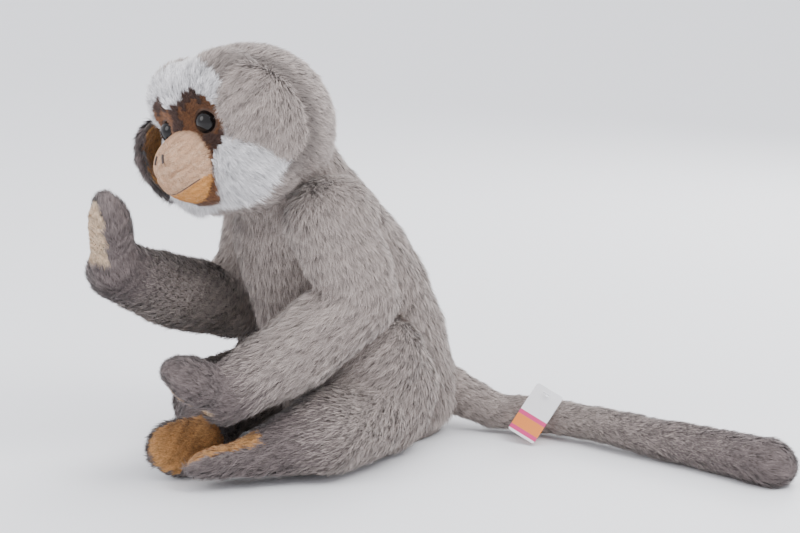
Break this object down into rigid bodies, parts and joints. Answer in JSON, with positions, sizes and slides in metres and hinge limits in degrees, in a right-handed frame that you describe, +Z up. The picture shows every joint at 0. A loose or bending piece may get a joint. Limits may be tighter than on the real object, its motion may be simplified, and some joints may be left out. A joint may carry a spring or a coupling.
{
  "type": "stuffed monkey",
  "caption": "Sitting plush monkey with a wired poseable frame, glossy eyes, suede muzzle, plush palms and soles, a long tail and a swing tag.",
  "frame": {"origin": "on the flat seat, under the middle of the torso, where the monkey rests", "axes": "+Z up, the monkey faces -Y, its own left side is +X"},
  "size_m": [0.5, 0.4389, 0.359],
  "materials": {
    "grey_plush": "long pile",
    "dark_plush": "long pile",
    "white_plush": "long pile",
    "brown_plush": "short pile",
    "tan_suede": "short velour",
    "orange_plush": "short pile",
    "cream_plush": "short pile",
    "dark_thread": "thread",
    "eye_plastic": "polished",
    "washer_plastic": "moulded",
    "polyester_filling": "fibre",
    "pellet_cloth": "plain weave",
    "armature_wire": "drawn",
    "tag_card": "printed",
    "tag_tie": "clear"
  },
  "bodies": {
    "torso": {"torso_skin": "grey_plush", "torso_filling": "polyester_filling", "seat_pellet_bag": "pellet_cloth", "shoulder_wire": "armature_wire", "hip_washers": "washer_plastic"},
    "neck": {"neck_skin": "grey_plush", "neck_lock_washer": "washer_plastic"},
    "head": {"neck_stud_disc": "washer_plastic", "head_skin": "grey_plush", "head_filling": "polyester_filling", "face_mask": "brown_plush", "brow_band": "white_plush", "cheek_ruff": "white_plush", "muzzle_skin": "tan_suede", "chin_panel": "tan_suede", "nostril_stitches": "dark_thread", "mouth_stitch": "dark_thread", "left_eye": "eye_plastic", "right_eye": "eye_plastic", "eye_washers": "washer_plastic", "left_ear_back": "grey_plush", "left_ear_lining": "orange_plush", "right_ear_back": "grey_plush", "right_ear_lining": "orange_plush"},
    "left_upper_arm": {"left_upper_arm_skin": "grey_plush", "left_upper_arm_filling": "polyester_filling", "left_upper_arm_wire": "armature_wire"},
    "left_forearm": {"left_forearm_skin": "grey_plush", "left_forearm_filling": "polyester_filling", "left_forearm_wire": "armature_wire"},
    "left_hand": {"left_hand_skin": "dark_plush", "left_hand_filling": "polyester_filling", "left_palm": "cream_plush"},
    "left_leg": {"left_leg_skin": "grey_plush", "left_leg_filling": "polyester_filling", "left_hip_disc": "washer_plastic", "left_foot_sole": "orange_plush"},
    "right_upper_arm": {"right_upper_arm_skin": "grey_plush", "right_upper_arm_filling": "polyester_filling", "right_upper_arm_wire": "armature_wire"},
    "right_forearm": {"right_forearm_skin": "grey_plush", "right_forearm_filling": "polyester_filling", "right_forearm_wire": "armature_wire"},
    "right_hand": {"right_hand_skin": "dark_plush", "right_hand_filling": "polyester_filling", "right_palm": "cream_plush"},
    "right_leg": {"right_leg_skin": "grey_plush", "right_leg_filling": "polyester_filling", "right_hip_disc": "washer_plastic", "right_foot_sole": "orange_plush"},
    "tail_base": {"tail_base_skin": "grey_plush", "tail_base_filling": "polyester_filling", "tail_base_wire": "armature_wire"},
    "tail_tip": {"tail_tip_skin": "dark_plush", "tail_tip_filling": "polyester_filling", "tail_tip_wire": "armature_wire"},
    "tag": {"tag_card": "tag_card", "tag_fastener": "tag_tie"}
  },
  "joints": [
    {"name": "neck_nod", "type": "hinge", "parent": "torso", "child": "neck", "pos_m": [0, -0.116, 0.291], "axis": [1, 0, 0], "range_deg": [-10, 6]},
    {"name": "head_turn", "type": "hinge", "parent": "neck", "child": "head", "pos_m": [0, -0.116, 0.291], "axis": [0, -0.7071, 0.7071], "range_deg": [-12, 20]},
    {"name": "left_shoulder_swing", "type": "hinge", "parent": "torso", "child": "left_upper_arm", "pos_m": [0.071, -0.084, 0.226], "axis": [1, 0, 0], "range_deg": [-30, 0]},
    {"name": "left_elbow_bend", "type": "hinge", "parent": "left_upper_arm", "child": "left_forearm", "pos_m": [0.092, -0.064, 0.156], "axis": [-0.8811, 0.4533, -0.1348], "range_deg": [-3, 18]},
    {"name": "left_wrist_bend", "type": "hinge", "parent": "left_forearm", "child": "left_hand", "pos_m": [0.046, -0.176, 0.08], "axis": [-0.9455, 0.2359, 0.2246], "range_deg": [-35, 8]},
    {"name": "right_shoulder_swing", "type": "hinge", "parent": "torso", "child": "right_upper_arm", "pos_m": [-0.071, -0.084, 0.226], "axis": [1, 0, 0], "range_deg": [-6, 8]},
    {"name": "right_elbow_bend", "type": "hinge", "parent": "right_upper_arm", "child": "right_forearm", "pos_m": [-0.092, -0.091, 0.131], "axis": [-0.9428, -0.2445, 0.2264], "range_deg": [-40, 0]},
    {"name": "right_wrist_bend", "type": "hinge", "parent": "right_forearm", "child": "right_hand", "pos_m": [-0.046, -0.223, 0.18], "axis": [-0.9373, -0.3449, -0.0493], "range_deg": [-35, 8]},
    {"name": "left_hip_swing", "type": "hinge", "parent": "torso", "child": "left_leg", "pos_m": [0.05, -0.02, 0.058], "axis": [1, 0, 0], "range_deg": [0, 45]},
    {"name": "right_hip_swing", "type": "hinge", "parent": "torso", "child": "right_leg", "pos_m": [-0.05, -0.02, 0.058], "axis": [1, 0, 0], "range_deg": [0, 45]},
    {"name": "tail_swing", "type": "hinge", "parent": "torso", "child": "tail_base", "pos_m": [0.03, 0.092, 0.036], "axis": [0, 0, 1], "range_deg": [-15, 20]},
    {"name": "tail_tip_bend", "type": "hinge", "parent": "tail_base", "child": "tail_tip", "pos_m": [0.163, 0.152, 0.0185], "axis": [0, 0, 1], "range_deg": [-22, 25]},
    {"name": "tag_swing", "type": "hinge", "parent": "tail_base", "child": "tag", "pos_m": [0.12717, 0.12689, 0.04277], "axis": [0.3994, -0.7689, 0.4993], "range_deg": [-12, 12]}
  ]
}
